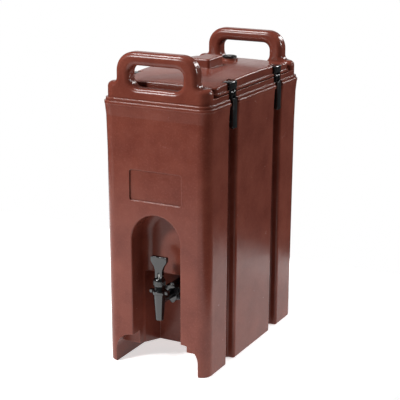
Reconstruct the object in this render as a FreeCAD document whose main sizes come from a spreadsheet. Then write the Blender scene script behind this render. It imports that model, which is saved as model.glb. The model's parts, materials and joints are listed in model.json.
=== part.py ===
import FreeCAD, Part
import math
import os
import Sketcher
from FreeCAD import Placement, Rotation, Vector

# Insulated drink dispenser: moulded double-wall body with two loop handles, lift-off lid,
# four draw latches, vent cap and a self-closing faucet. Millimetres, +Z up, front towards -Y,
# origin on the floor under the middle of the body.

doc = FreeCAD.newDocument("drink_dispenser")
sheet = doc.addObject("Spreadsheet::Sheet", "dims")

dimensions = [
    # outer body
    ("ledgeHalfWidth", 114.5, "half width over the ledge bead"),
    ("ledgeHalfDepth", 209.5, "half depth over the ledge bead"),
    ("footHalfWidth", 109.8, "half width at the floor"),
    ("footHalfDepth", 203.5, "half depth at the floor"),
    ("wallHalfWidth", 111.2, "half width below the flare"),
    ("wallHalfDepth", 206.0, "half depth below the flare"),
    ("flareStart", 430, "height where the wall starts to flare"),
    ("flareMiddle", 495, "height half way up the flare"),
    ("beadBottom", 517, "underside of the lower bead"),
    ("beadMiddle", 522, "top of the lower bead"),
    ("beadTop", 528, "top of the upper bead"),
    ("cornerRadius", 22, "vertical corners of the body"),
    ("neckHalfWidth", 108.5, "half width of the neck above the ledge"),
    ("neckHalfDepth", 204.5, "half depth of the neck above the ledge"),
    ("rimHeight", 538.5, "top of the rim that the lid sits on"),
    ("shoulderHeight", 558, "top of the corner shoulders"),
    ("bayHalfDepth", 172.5, "half length of the bay that holds the lid"),
    ("skin", 5, "thickness of the outer skin"),
    # handles
    ("totalHeight", 616, "top of the handles"),
    ("handleHalfWidth", 84.5, "half width over a handle"),
    ("gripHalfWidth", 56, "half width of the finger opening"),
    ("gripBottom", 550, "bottom of the finger opening"),
    ("gripTop", 591.5, "top of the finger opening"),
    ("handleRound", 10, "rounding of handles and shoulders"),
    # channels for the latches
    ("channelCentre", 101.7, "latch channel from the middle"),
    ("channelHalfWidth", 16.5, "half width of a latch channel"),
    ("channelFloor", 94.5, "floor of a channel from the middle plane"),
    # faucet alcove, scoop and underside
    ("alcoveHalfWidth", 52, "half width of the alcove"),
    ("alcoveArch", 259, "height of the arch centre"),
    ("alcoveUpperBack", 150, "back of the upper alcove"),
    ("alcoveLowerBack", 98, "back of the lower alcove"),
    ("alcoveStep", 181, "height of the step in the alcove"),
    ("scoopHalfWidth", 90, "half width between the front feet"),
    ("scoopHeight", 62, "height of the scoop between the front feet"),
    ("scoopBack", 177, "back of the scoop"),
    ("bellyHeight", 18, "clearance under the middle of the body"),
    ("bellyFront", 36, "clearance under the alcove walls at the scoop"),
    ("labelHalfWidth", 55.5, "half width of the label recess"),
    ("labelBottom", 335.5, "bottom of the label recess"),
    ("labelTop", 396, "top of the label recess"),
    # tank
    ("tankOuterHalf", 79, "half width over the tank liner"),
    ("tankSkin", 3.5, "thickness of the tank liner"),
    ("tankFloor", 112, "inside floor of the tank"),
    ("tankDepth", 166, "rear and upper front of the liner"),
    ("tankMiddleFront", 115, "middle front of the liner"),
    ("tankLowerFront", 63, "lower front of the liner"),
    ("tankLowerTop", 190, "height of the first step of the tank"),
    ("tankMiddleTop", 330, "height of the second step of the tank"),
    # lid
    ("lidFlangeHalfWidth", 108.5, "half width over the lid flange"),
    ("lidFlangeHalfLength", 169, "half length over the lid flange"),
    ("lidHalfWidth", 105.5, "half width of the lid"),
    ("lidHalfLength", 166.5, "half length of the lid"),
    ("lidBottom", 541, "underside of the lid flange"),
    ("lidFlangeTop", 545.5, "top of the lid flange"),
    ("lidCrown", 565, "top of the lid in the middle"),
    ("lidCrownRadius", 2000, "radius of the lid's crown"),
    ("lidSkin", 4, "thickness of the lid shell"),
    ("plugHalfWidth", 73.5, "half width of the lid plug"),
    ("plugHalfLength", 158, "half length of the lid plug"),
    ("plugBottom", 516, "underside of the lid plug"),
    ("bumpHalfWidth", 20, "half width of the raised block"),
    ("bumpFront", -25, "front of the raised block"),
    ("bumpBack", 38, "back of the raised block"),
    ("bumpTop", 583, "top of the raised block"),
    ("ventPlace", 106, "vent from the middle, towards the back"),
    ("ventRadius", 4.6, "radius of the vent hole"),
    # latches, from the middle plane of the body, before placing
    ("pivotOut", 106.5, "latch pivot from the middle plane"),
    ("pivotHeight", 538, "height of the latch pivot"),
    ("linkHeight", 486, "height of the hook pin on the lever"),
    ("pinRadius", 1.6, "latch pins"),
    ("pinFit", 0.06, "running fit round a pin"),
    ("noseInner", 94, "inner end of the hook nose"),
    ("noseBottom", 556.5, "underside of the hook nose"),
    ("noseTop", 559.5, "top of the hook nose"),
    # faucet
    ("faucetHeight", 138, "height of the shank axis"),
    ("spoutPlace", 190, "spout axis in front of the middle"),
    ("spoutTip", 100, "bottom of the spout"),
    ("shankRadius", 9, "radius of the shank"),
    ("stemRadius", 2.5, "radius of the stem"),
    ("tiltHeight", 189, "height of the handle pin"),
]
for row, (alias, value, note) in enumerate(dimensions, 1):
    sheet.set(f"A{row}", note)
    sheet.set(f"B{row}", str(value))
    sheet.setAlias(f"B{row}", alias)
doc.recompute()

parts = []


def valueOf(expression):
    """Number behind a size given as a number or as an expression on the sheet."""
    if not isinstance(expression, str):
        return float(expression)
    return float(sheet.evalExpression(expression))


def setSize(thing, name, expression):
    """Sets a property from a number, or binds it to an expression on the sheet."""
    if isinstance(expression, str):
        thing.setExpression(name, expression)
    else:
        setattr(thing, name, expression)


def newBody(name, move=(0, 0, 0), turn=0.0, axis=(0, 0, 1)):
    """A sub-part's body, with its label and its place."""
    body = doc.addObject("PartDesign::Body", name)
    body.Label = name
    body.Placement = Placement(Vector(*move), Rotation(Vector(*axis), turn))
    parts.append(body)
    return body


def newSketch(body, name, role, offset=0.0):
    """A sketch on one of the body's own planes, moved along its normal."""
    sketch = body.newObject("Sketcher::SketchObject", name)
    plane = next(item for item in body.Origin.OriginFeatures if item.Role == role)
    sketch.AttachmentSupport = [(plane, "")]
    sketch.MapMode = "FlatFace"
    if isinstance(offset, str):
        sketch.setExpression("AttachmentOffset.Base.z", offset)
    else:
        sketch.AttachmentOffset = Placement(Vector(0, 0, offset), Rotation())
    return sketch


def bindPoint(sketch, line, end, x, y):
    """Holds a point of the sketch at x, y from the sketch's origin."""
    for kind, size in (("DistanceX", x), ("DistanceY", y)):
        number = sketch.addConstraint(Sketcher.Constraint(kind, -1, 1, line, end, valueOf(size)))
        if isinstance(size, str):
            sketch.setExpression(f"Constraints[{number}]", size)


def addOutline(sketch, points):
    """A closed outline of straight lines, every corner bound to its sizes."""
    numbers = [Vector(valueOf(x), valueOf(y), 0) for x, y in points]
    first = sketch.GeometryCount
    count = len(numbers)
    for index in range(count):
        sketch.addGeometry(Part.LineSegment(numbers[index], numbers[(index + 1) % count]), False)
    for index in range(count):
        following = first + (index + 1) % count
        sketch.addConstraint(Sketcher.Constraint("Coincident", first + index, 2, following, 1))
    for index, (x, y) in enumerate(points):
        bindPoint(sketch, first + index, 1, x, y)


def addRectangle(sketch, left, right, low, high):
    addOutline(sketch, [(left, low), (right, low), (right, high), (left, high)])


def addCircle(sketch, x, y, radius):
    circle = Part.Circle(Vector(valueOf(x), valueOf(y), 0), Vector(0, 0, 1), valueOf(radius))
    line = sketch.addGeometry(circle, False)
    bindPoint(sketch, line, 3, x, y)
    number = sketch.addConstraint(Sketcher.Constraint("Radius", line, valueOf(radius)))
    if isinstance(radius, str):
        sketch.setExpression(f"Constraints[{number}]", radius)


def addArch(sketch, half, low, centre):
    """An upright opening with a half-round top."""
    a, z0, z1 = valueOf(half), valueOf(low), valueOf(centre)
    corners = [Vector(-a, z1, 0), Vector(-a, z0, 0), Vector(a, z0, 0), Vector(a, z1, 0)]
    for index in range(3):
        sketch.addGeometry(Part.LineSegment(corners[index], corners[index + 1]), False)
    circle = Part.Circle(Vector(0, z1, 0), Vector(0, 0, 1), a)
    sketch.addGeometry(Part.ArcOfCircle(circle, 0, math.pi), False)
    for index in range(2):
        sketch.addConstraint(Sketcher.Constraint("Coincident", index, 2, index + 1, 1))
    sketch.addConstraint(Sketcher.Constraint("Tangent", 2, 2, 3, 1))
    sketch.addConstraint(Sketcher.Constraint("Tangent", 3, 2, 0, 1))
    bindPoint(sketch, 1, 1, f"-({half})", low)
    bindPoint(sketch, 1, 2, half, low)
    bindPoint(sketch, 3, 1, half, centre)


def addRoundedRectangle(sketch, halfWidth, halfDepth, radius):
    """A rectangle round the origin with four equal round corners."""
    a, b, r = valueOf(halfWidth), valueOf(halfDepth), valueOf(radius)
    up = Vector(0, 0, 1)
    lines = []
    arcs = []
    ends = [((-a + r, -b), (a - r, -b)), ((a, -b + r), (a, b - r)),
            ((a - r, b), (-a + r, b)), ((-a, b - r), (-a, -b + r))]
    middles = [(a - r, -b + r), (a - r, b - r), (-a + r, b - r), (-a + r, -b + r)]
    for (start, stop), middle, quarter in zip(ends, middles, (-1, 0, 1, 2)):
        lines.append(sketch.addGeometry(Part.LineSegment(Vector(*start, 0), Vector(*stop, 0)), False))
        circle = Part.Circle(Vector(*middle, 0), up, r)
        angle = quarter * math.pi / 2
        arcs.append(sketch.addGeometry(Part.ArcOfCircle(circle, angle, angle + math.pi / 2), False))
    for index in range(4):
        following = lines[(index + 1) % 4]
        sketch.addConstraint(Sketcher.Constraint("Tangent", lines[index], 2, arcs[index], 1))
        sketch.addConstraint(Sketcher.Constraint("Tangent", arcs[index], 2, following, 1))
        if index:
            sketch.addConstraint(Sketcher.Constraint("Equal", arcs[0], arcs[index]))
    for index, kind in enumerate(("Horizontal", "Vertical", "Horizontal", "Vertical")):
        sketch.addConstraint(Sketcher.Constraint(kind, lines[index]))
    sizes = [("DistanceY", lines[0], f"-({halfDepth})", -b), ("DistanceX", lines[1], halfWidth, a),
             ("DistanceY", lines[2], halfDepth, b), ("DistanceX", lines[3], f"-({halfWidth})", -a)]
    for kind, line, expression, number in sizes:
        item = sketch.addConstraint(Sketcher.Constraint(kind, -1, 1, line, 1, number))
        sketch.setExpression(f"Constraints[{item}]", str(expression))
    item = sketch.addConstraint(Sketcher.Constraint("Radius", arcs[0], r))
    sketch.setExpression(f"Constraints[{item}]", str(radius))


def pad(body, sketch, length, midplane=False, reverse=False):
    feature = body.newObject("PartDesign::Pad", sketch.Name + "_pad")
    feature.Profile = sketch
    feature.Midplane = midplane
    feature.Reversed = reverse
    setSize(feature, "Length", length)
    sketch.Visibility = False
    doc.recompute()
    return feature


def pocket(body, sketch, length, midplane=False, reverse=False):
    before = body.Shape.Volume
    feature = body.newObject("PartDesign::Pocket", sketch.Name + "_cut")
    feature.Profile = sketch
    feature.Midplane = midplane
    feature.Reversed = reverse
    setSize(feature, "Length", length)
    sketch.Visibility = False
    doc.recompute()
    if body.Shape.Volume >= before - 1e-3:
        raise ValueError(f"{feature.Name} cut nothing")
    return feature


def findEdges(shape, wanted):
    """Names of the edges whose middle point and direction pass the test."""
    names = []
    for number, edge in enumerate(shape.Edges, 1):
        if edge.Degenerated:
            continue
        first, last = edge.ParameterRange
        middle = edge.valueAt((first + last) / 2)
        direction = edge.tangentAt((first + last) / 2)
        if wanted(middle, direction, edge):
            names.append(f"Edge{number}")
    return names


def fillet(body, name, radius, wanted):
    """Rounds the edges of the body that pass the test."""
    tip = body.Tip
    names = findEdges(tip.Shape, wanted)
    if not names:
        raise ValueError(f"{name} found no edges")
    feature = body.newObject("PartDesign::Fillet", name)
    feature.Base = (tip, names)
    setSize(feature, "Radius", radius)
    doc.recompute()
    if feature.Shape.isNull() or not feature.Shape.isValid() or "Invalid" in feature.State:
        raise ValueError(f"{name} failed on {len(names)} edges")
    return feature


def turned(name, points, move=(0, 0, 0), turn=0.0, axis=(1, 0, 0)):
    """A turned piece: its half section, radius and height, revolved about its own Z axis."""
    body = newBody(name, move, turn, axis)
    sketch = newSketch(body, name + "_section", "XZ_Plane")
    addOutline(sketch, points)
    feature = body.newObject("PartDesign::Revolution", name + "_turned")
    feature.Profile = sketch
    feature.ReferenceAxis = (sketch, ["V_Axis"])
    feature.Angle = 360
    sketch.Visibility = False
    doc.recompute()
    return body


def near(value, target, room=0.6):
    return abs(value - target) < room


def cutChannels(body, name, level, height):
    """The four upright channels in the sides, from a level upwards."""
    sketch = newSketch(body, name, "XY_Plane", level)
    for side in ("", "-"):
        for end in ("", "-"):
            centre = f"{end}dims.channelCentre"
            low, high = f"{centre} - dims.channelHalfWidth", f"{centre} + dims.channelHalfWidth"
            inner, outer = f"{side}dims.channelFloor", f"{side}130"
            if side:
                inner, outer = outer, inner
            addRectangle(sketch, inner, outer, low, high)
    pocket(body, sketch, height, reverse=True)


# ---- body shell: lofted walls, ledge beads, neck with shoulders, handles ----

def makeBodyShell():
    body = newBody("body_shell")
    sections = []
    levels = [(0.0, "dims.footHalfWidth", "dims.footHalfDepth"),
              ("dims.flareStart", "dims.wallHalfWidth", "dims.wallHalfDepth"),
              ("dims.flareMiddle", "dims.wallHalfWidth + 1.2", "dims.wallHalfDepth + 1.2"),
              ("dims.beadBottom", "dims.ledgeHalfWidth - 0.4", "dims.ledgeHalfDepth - 0.4")]
    for number, (level, halfWidth, halfDepth) in enumerate(levels):
        sketch = newSketch(body, f"wall_section_{number}", "XY_Plane", level)
        addRoundedRectangle(sketch, halfWidth, halfDepth, "dims.cornerRadius")
        sections.append(sketch)
    doc.recompute()
    loft = body.newObject("PartDesign::AdditiveLoft", "walls")
    loft.Profile = sections[0]
    loft.Sections = sections[1:]
    loft.Ruled = True
    doc.recompute()

    # latch channels: rounded at the mouth in the walls, square through the ledge and the neck
    cutChannels(body, "channel", 0, "dims.beadBottom")
    fillet(body, "channel_mouths", 6,
           lambda p, d, e: abs(d.z) > 0.98 and abs(p.x) > valueOf("dims.footHalfWidth") - 1
           and near(abs(abs(p.y) - valueOf("dims.channelCentre")), valueOf("dims.channelHalfWidth"), 0.2))
    fillet(body, "channel_corners", 4,
           lambda p, d, e: abs(d.z) > 0.99 and near(abs(p.x), valueOf("dims.channelFloor"), 0.2))
    fillet(body, "bottom_edge", 3.5, lambda p, d, e: near(p.z, 0, 0.01))

    rings = [("lower_bead", "dims.beadBottom", "dims.beadMiddle - dims.beadBottom",
              "dims.ledgeHalfWidth", "dims.ledgeHalfDepth", "dims.cornerRadius"),
             ("upper_bead", "dims.beadMiddle", "dims.beadTop - dims.beadMiddle",
              "dims.ledgeHalfWidth - 2.4", "dims.ledgeHalfDepth - 2.4", "dims.cornerRadius - 1"),
             ("neck", "dims.beadTop", "dims.shoulderHeight - dims.beadTop",
              "dims.neckHalfWidth", "dims.neckHalfDepth", "dims.cornerRadius - 2")]
    for name, level, height, halfWidth, halfDepth, radius in rings:
        sketch = newSketch(body, name, "XY_Plane", level)
        addRoundedRectangle(sketch, halfWidth, halfDepth, radius)
        pad(body, sketch, height)

    cutChannels(body, "neck_channel", "dims.beadBottom", "dims.shoulderHeight - dims.beadBottom")
    bay = newSketch(body, "lid_bay", "XY_Plane", "dims.shoulderHeight + 1")
    addRectangle(bay, -130, 130, "-dims.bayHalfDepth", "dims.bayHalfDepth")
    pocket(body, bay, "dims.shoulderHeight + 1 - dims.rimHeight")

    cutInside(body)

    for name, offset, reverse in (("front_handle", "dims.neckHalfDepth", True),
                                  ("rear_handle", "-dims.neckHalfDepth", False)):
        sketch = newSketch(body, name, "XZ_Plane", offset)
        addRectangle(sketch, "-dims.handleHalfWidth", "dims.handleHalfWidth",
                     "dims.shoulderHeight - 8", "dims.totalHeight")
        pad(body, sketch, "dims.neckHalfDepth - dims.bayHalfDepth", reverse=reverse)
    grip = newSketch(body, "grip_openings", "XZ_Plane")
    addRectangle(grip, "-dims.gripHalfWidth", "dims.gripHalfWidth", "dims.gripBottom", "dims.gripTop")
    pocket(body, grip, 500, midplane=True)

    # corners of the handle outline, seen from the front, before its edges are rounded
    def alongDepth(direction):
        return abs(direction.y) > 0.99

    fillet(body, "handle_top_corners", 36,
           lambda p, d, e: alongDepth(d) and near(abs(p.x), valueOf("dims.handleHalfWidth"))
           and near(p.z, valueOf("dims.totalHeight")))
    fillet(body, "grip_top_corners", 15,
           lambda p, d, e: alongDepth(d) and near(abs(p.x), valueOf("dims.gripHalfWidth"))
           and near(p.z, valueOf("dims.gripTop")))
    fillet(body, "grip_bottom_corners", 18,
           lambda p, d, e: alongDepth(d) and near(abs(p.x), valueOf("dims.gripHalfWidth"))
           and near(p.z, valueOf("dims.gripBottom")))
    fillet(body, "shoulder_hollows", 9,
           lambda p, d, e: alongDepth(d) and near(abs(p.x), valueOf("dims.handleHalfWidth"))
           and near(p.z, valueOf("dims.shoulderHeight")))
    fillet(body, "bay_corners", 10.6,
           lambda p, d, e: abs(d.z) > 0.99 and near(abs(p.x), valueOf("dims.neckHalfWidth"))
           and near(abs(p.y), valueOf("dims.bayHalfDepth")) and p.z > valueOf("dims.rimHeight"))
    fillet(body, "handle_edges", "dims.handleRound",
           lambda p, d, e: p.z > valueOf("dims.shoulderHeight") - 0.1
           and not alongDepth(d) and e.Length > 5)
    cutFront(body)
    return body


def cutFront(body):
    """Alcove for the faucet, scoop between the front feet, belly and label recess."""
    outside = "dims.ledgeHalfDepth + 10"
    upper = newSketch(body, "upper_alcove", "XZ_Plane", outside)
    addArch(upper, "dims.alcoveHalfWidth", -5, "dims.alcoveArch")
    pocket(body, upper, f"{outside} - dims.alcoveUpperBack")
    back = -valueOf("dims.alcoveUpperBack")
    fillet(body, "alcove_back", 16,
           lambda p, d, e: near(p.y, back, 0.1) and p.z > 5 and abs(d.y) < 0.01
           and abs(p.x) < valueOf("dims.alcoveHalfWidth") + 1)
    lower = newSketch(body, "lower_alcove", "XZ_Plane", outside)
    addRectangle(lower, "-dims.alcoveHalfWidth + 2", "dims.alcoveHalfWidth - 2", -5, "dims.alcoveStep")
    pocket(body, lower, f"{outside} - dims.alcoveLowerBack")
    scoop = newSketch(body, "scoop", "XZ_Plane", outside)
    addRectangle(scoop, "-dims.scoopHalfWidth", "dims.scoopHalfWidth", -5, "dims.scoopHeight")
    pocket(body, scoop, f"{outside} - dims.scoopBack")
    belly = newSketch(body, "belly", "YZ_Plane")
    addOutline(belly, [(f"-({outside})", -5), (f"-({outside})", "dims.bellyFront"),
                       ("-dims.scoopBack", "dims.bellyFront"),
                       ("-dims.alcoveLowerBack", "dims.bellyHeight"),
                       ("dims.footHalfDepth - 22", "dims.bellyHeight"),
                       ("dims.footHalfDepth - 22", -5)])
    pocket(body, belly, "2 * dims.scoopHalfWidth", midplane=True)
    fillet(body, "alcove_front", 3,
           lambda p, d, e: p.y < -200 and abs(d.y) < 0.05 and p.z > valueOf("dims.scoopHeight") + 1
           and p.z < valueOf("dims.alcoveArch") + valueOf("dims.alcoveHalfWidth") + 2
           and abs(p.x) < valueOf("dims.alcoveHalfWidth") + 0.2)
    fillet(body, "scoop_corners", 34,
           lambda p, d, e: abs(d.y) > 0.99 and near(abs(p.x), valueOf("dims.scoopHalfWidth"), 0.1)
           and near(p.z, valueOf("dims.scoopHeight"), 0.1))
    label = newSketch(body, "label_recess", "XZ_Plane", outside)
    addRectangle(label, "-dims.labelHalfWidth", "dims.labelHalfWidth", "dims.labelBottom", "dims.labelTop")
    pocket(body, label, f"{outside} - dims.wallHalfDepth + 3.4")
    fillet(body, "label_corners", 5,
           lambda p, d, e: abs(d.y) > 0.9 and near(abs(p.x), valueOf("dims.labelHalfWidth"), 0.1)
           and valueOf("dims.labelBottom") - 1 < p.z < valueOf("dims.labelTop") + 1 and p.y < -190)


def cutInside(body):
    """Room for the foam and the tank, from the rim down, and the bore for the shank."""
    skin = "dims.skin"
    top = "dims.rimHeight - 4"
    inner = "dims.channelFloor - dims.skin"
    mouth = newSketch(body, "liner_seat", "XY_Plane", "dims.rimHeight + 1")
    addRectangle(mouth, f"-({inner})", inner, "-dims.bayHalfDepth + 3", "dims.bayHalfDepth - 3")
    pocket(body, mouth, 5)
    for name, left, right, low, high, floor in foamBlocks():
        sketch = newSketch(body, name, "XY_Plane", top)
        addRectangle(sketch, left, right, low, high)
        pocket(body, sketch, f"{top} - ({floor})")
    bore = newSketch(body, "shank_bore", "XZ_Plane", "dims.alcoveLowerBack + 5")
    addCircle(bore, 0, "dims.faucetHeight", "dims.shankRadius + 0.3")
    pocket(body, bore, "10 + dims.skin")


def foamBlocks():
    """Blocks of room between the outer skin and the tank: sides, ends and floor of each."""
    inner = "dims.channelFloor - dims.skin"
    outer = "dims.neckHalfWidth - dims.skin"
    ends = "dims.footHalfDepth - dims.skin"
    behindLower = "-dims.alcoveLowerBack + dims.skin"
    behindUpper = "-dims.alcoveUpperBack + dims.skin"
    besides = "dims.alcoveHalfWidth + dims.skin"
    column = "dims.channelCentre + dims.channelHalfWidth + 11"
    middle = "dims.channelCentre - dims.channelHalfWidth - 11"
    corner = "dims.footHalfDepth - 16"
    blocks = [
        ("room_rear", f"-({inner})", inner, behindLower, ends, "dims.bellyHeight + dims.skin"),
        ("room_middle", f"-({inner})", inner, behindUpper, behindLower, "dims.alcoveStep + dims.skin"),
        ("room_front", f"-({inner})", inner, f"-({ends})", behindUpper,
         "dims.alcoveArch + dims.alcoveHalfWidth + dims.skin"),
    ]
    for side, left, right in (("left", f"-({inner})", f"-({besides})"), ("right", besides, inner)):
        blocks.append((f"room_beside_alcove_{side}", left, right, f"-({ends})", behindLower,
                       "dims.scoopHeight + dims.skin"))
    for side, left, right in (("left", f"-({outer})", f"-({inner}) + 0.5"),
                              ("right", f"{inner} - 0.5", outer)):
        blocks.append((f"pillar_front_{side}", left, right, f"-({corner})", f"-({column})", 67))
        blocks.append((f"pillar_middle_{side}", left, right, f"-({middle})", middle, 8))
        blocks.append((f"pillar_rear_{side}", left, right, column, corner, 8))
    return blocks


# ---- tank and foam ----

def tankOutline(inset, floor, top):
    """Side outline of the tank: full depth above, stepped back behind the alcove."""
    rear = f"dims.tankDepth - {inset}"
    return [(f"-dims.tankLowerFront + {inset}", floor), (rear, floor), (rear, top),
            (f"-dims.tankDepth + {inset}", top),
            (f"-dims.tankDepth + {inset}", f"dims.tankMiddleTop + 15 + {inset} / 2"),
            (f"-dims.tankMiddleFront + {inset}", f"dims.tankMiddleTop - 15 + {inset} / 2"),
            (f"-dims.tankMiddleFront + {inset}", f"dims.tankLowerTop + 12 + {inset} / 2"),
            (f"-dims.tankLowerFront + {inset}", f"dims.tankLowerTop - 12 + {inset} / 2")]


def makeTank():
    body = newBody("tank_liner")
    outer = newSketch(body, "tank_outer", "YZ_Plane")
    addOutline(outer, tankOutline("0", "dims.tankFloor - dims.tankSkin", "dims.rimHeight"))
    pad(body, outer, "2 * dims.tankOuterHalf", midplane=True)
    flange = newSketch(body, "tank_flange", "XY_Plane", "dims.rimHeight - 3.9")
    addRectangle(flange, "-dims.channelFloor + dims.skin + 0.2", "dims.channelFloor - dims.skin - 0.2",
                 "-dims.bayHalfDepth + 3.2", "dims.bayHalfDepth - 3.2")
    pad(body, flange, 3.9)
    fillet(body, "tank_outer_edges", 14,
           lambda p, d, e: near(abs(p.x), valueOf("dims.tankOuterHalf"), 0.1)
           and p.z < valueOf("dims.rimHeight") - 10 and e.Length > 20)
    inner = newSketch(body, "tank_inner", "YZ_Plane")
    addOutline(inner, tankOutline("dims.tankSkin", "dims.tankFloor", "dims.rimHeight + 5"))
    pocket(body, inner, "2 * (dims.tankOuterHalf - dims.tankSkin)", midplane=True)
    bore = newSketch(body, "tank_outlet", "XZ_Plane", "dims.tankLowerFront + 5")
    addCircle(bore, 0, "dims.faucetHeight", "dims.shankRadius + 0.3")
    pocket(body, bore, 12)
    return body


def makeFoam():
    """Foam core: the room inside the skin, less the tank and the shank."""
    boxes = []
    for name, left, right, low, high, floor in foamBlocks():
        box = doc.addObject("Part::Box", "foam_" + name)
        box.setExpression("Placement.Base.x", str(left))
        box.setExpression("Placement.Base.y", str(low))
        box.setExpression("Placement.Base.z", str(floor))
        box.setExpression("Length", f"({right}) - ({left})")
        box.setExpression("Width", f"({high}) - ({low})")
        box.setExpression("Height", f"dims.rimHeight - 4 - ({floor})")
        boxes.append(box)
    block = doc.addObject("Part::MultiFuse", "foam_block")
    block.Shapes = boxes
    block.Refine = True
    tank = doc.addObject("Part::Extrusion", "foam_tank")
    outline = doc.addObject("Sketcher::SketchObject", "foam_tank_outline")
    outline.Placement = Placement(Vector(), Rotation(Vector(1, 1, 1), 120))
    addOutline(outline, tankOutline("0", "dims.tankFloor - dims.tankSkin", "dims.rimHeight + 5"))
    tank.Base = outline
    tank.DirMode = "Normal"
    tank.Symmetric = True
    tank.Solid = True
    tank.setExpression("LengthFwd", "2 * dims.tankOuterHalf")
    shank = doc.addObject("Part::Cylinder", "foam_shank")
    shank.setExpression("Radius", "dims.shankRadius + 0.3")
    shank.Height = 60
    shank.Placement = Placement(Vector(0, -50, 0), Rotation(Vector(1, 0, 0), 90))
    shank.setExpression("Placement.Base.z", "dims.faucetHeight")
    withoutTank = doc.addObject("Part::Cut", "foam_without_tank")
    withoutTank.Base = block
    withoutTank.Tool = tank
    foam = doc.addObject("Part::Cut", "body_foam")
    foam.Base = withoutTank
    foam.Tool = shank
    foam.Label = "body_foam"
    parts.append(foam)
    doc.recompute()


# ---- lid ----

def makeLidShell():
    body = newBody("lid_shell")
    flange = newSketch(body, "lid_flange", "XY_Plane", "dims.lidBottom")
    addRoundedRectangle(flange, "dims.lidFlangeHalfWidth", "dims.lidFlangeHalfLength", 15)
    pad(body, flange, "dims.lidFlangeTop - dims.lidBottom")
    raised = newSketch(body, "lid_raised", "XY_Plane", "dims.lidFlangeTop")
    addRoundedRectangle(raised, "dims.lidHalfWidth", "dims.lidHalfLength", 13)
    pad(body, raised, "dims.lidCrown + 3 - dims.lidFlangeTop")

    crown = newSketch(body, "lid_crown", "XZ_Plane")
    radius = valueOf("dims.lidCrownRadius")
    top = valueOf("dims.lidCrown")
    reach = 230.0
    low = top - radius + math.sqrt(radius ** 2 - reach ** 2)
    circle = Part.Circle(Vector(0, top - radius, 0), Vector(0, 0, 1), radius)
    start = math.asin((low - top + radius) / radius)
    crown.addGeometry(Part.ArcOfCircle(circle, start, math.pi / 2), False)
    corners = [Vector(0, top, 0), Vector(0, top + 20, 0), Vector(reach, top + 20, 0), Vector(reach, low, 0)]
    for index in range(3):
        crown.addGeometry(Part.LineSegment(corners[index], corners[index + 1]), False)
    for first, end, second, start in ((0, 2, 1, 1), (1, 2, 2, 1), (2, 2, 3, 1), (3, 2, 0, 1)):
        crown.addConstraint(Sketcher.Constraint("Coincident", first, end, second, start))
    bindPoint(crown, 1, 2, 0, "dims.lidCrown + 20")
    bindPoint(crown, 2, 2, reach, "dims.lidCrown + 20")
    bindPoint(crown, 0, 3, 0, "dims.lidCrown - dims.lidCrownRadius")
    bindPoint(crown, 0, 2, 0, "dims.lidCrown")
    crown.addConstraint(Sketcher.Constraint("Vertical", 3))
    groove = body.newObject("PartDesign::Groove", "lid_crown_cut")
    groove.Profile = crown
    groove.ReferenceAxis = (crown, ["V_Axis"])
    groove.Angle = 360
    doc.recompute()
    fillet(body, "lid_rim", 3.5,
           lambda p, d, e: p.z > 552 and (abs(p.x) > 92 or abs(p.y) > 160))

    bump = newSketch(body, "lid_bump", "XY_Plane", "dims.lidCrown - 5")
    addRectangle(bump, "-dims.bumpHalfWidth", "dims.bumpHalfWidth", "dims.bumpFront", "dims.bumpBack")
    pad(body, bump, "dims.bumpTop - dims.lidCrown + 5")
    boss = newSketch(body, "vent_boss", "XY_Plane", "dims.lidCrown - 6")
    addCircle(boss, 0, "dims.ventPlace", 17)
    pad(body, boss, 7.5)
    fillet(body, "bump_sides", 5,
           lambda p, d, e: abs(d.z) > 0.99 and near(abs(p.x), valueOf("dims.bumpHalfWidth"), 0.1)
           and p.z > valueOf("dims.lidCrown") - 3)
    fillet(body, "bump_top", 3.5, lambda p, d, e: near(p.z, valueOf("dims.bumpTop"), 0.1))

    notch = newSketch(body, "latch_notches", "XY_Plane", "dims.lidBottom - 1")
    seat = newSketch(body, "nose_seats", "XY_Plane", "dims.noseBottom - 2")
    for sketch, depth in ((notch, "dims.channelFloor + 7"), (seat, "dims.noseInner - 2")):
        for side in ("", "-"):
            for end in ("", "-"):
                low = f"{end}dims.channelCentre - dims.channelHalfWidth"
                high = f"{end}dims.channelCentre + dims.channelHalfWidth"
                sides = ("-130", f"-({depth})") if side else (depth, "130")
                addRectangle(sketch, *sides, low, high)
        pocket(body, sketch, 40, reverse=True)

    for name, halfWidth, halfLength, height in (("lid_room", 88, 161, 11), ("lid_middle_room", 60, 100, 16)):
        sketch = newSketch(body, name, "XY_Plane", "dims.lidBottom - 1")
        addRectangle(sketch, -halfWidth, halfWidth, -halfLength, halfLength)
        pocket(body, sketch, height + 1, reverse=True)
    vent = newSketch(body, "vent_hole", "XY_Plane", "dims.lidBottom")
    addCircle(vent, 0, "dims.ventPlace", "dims.ventRadius")
    pocket(body, vent, 60, reverse=True)
    return body


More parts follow.
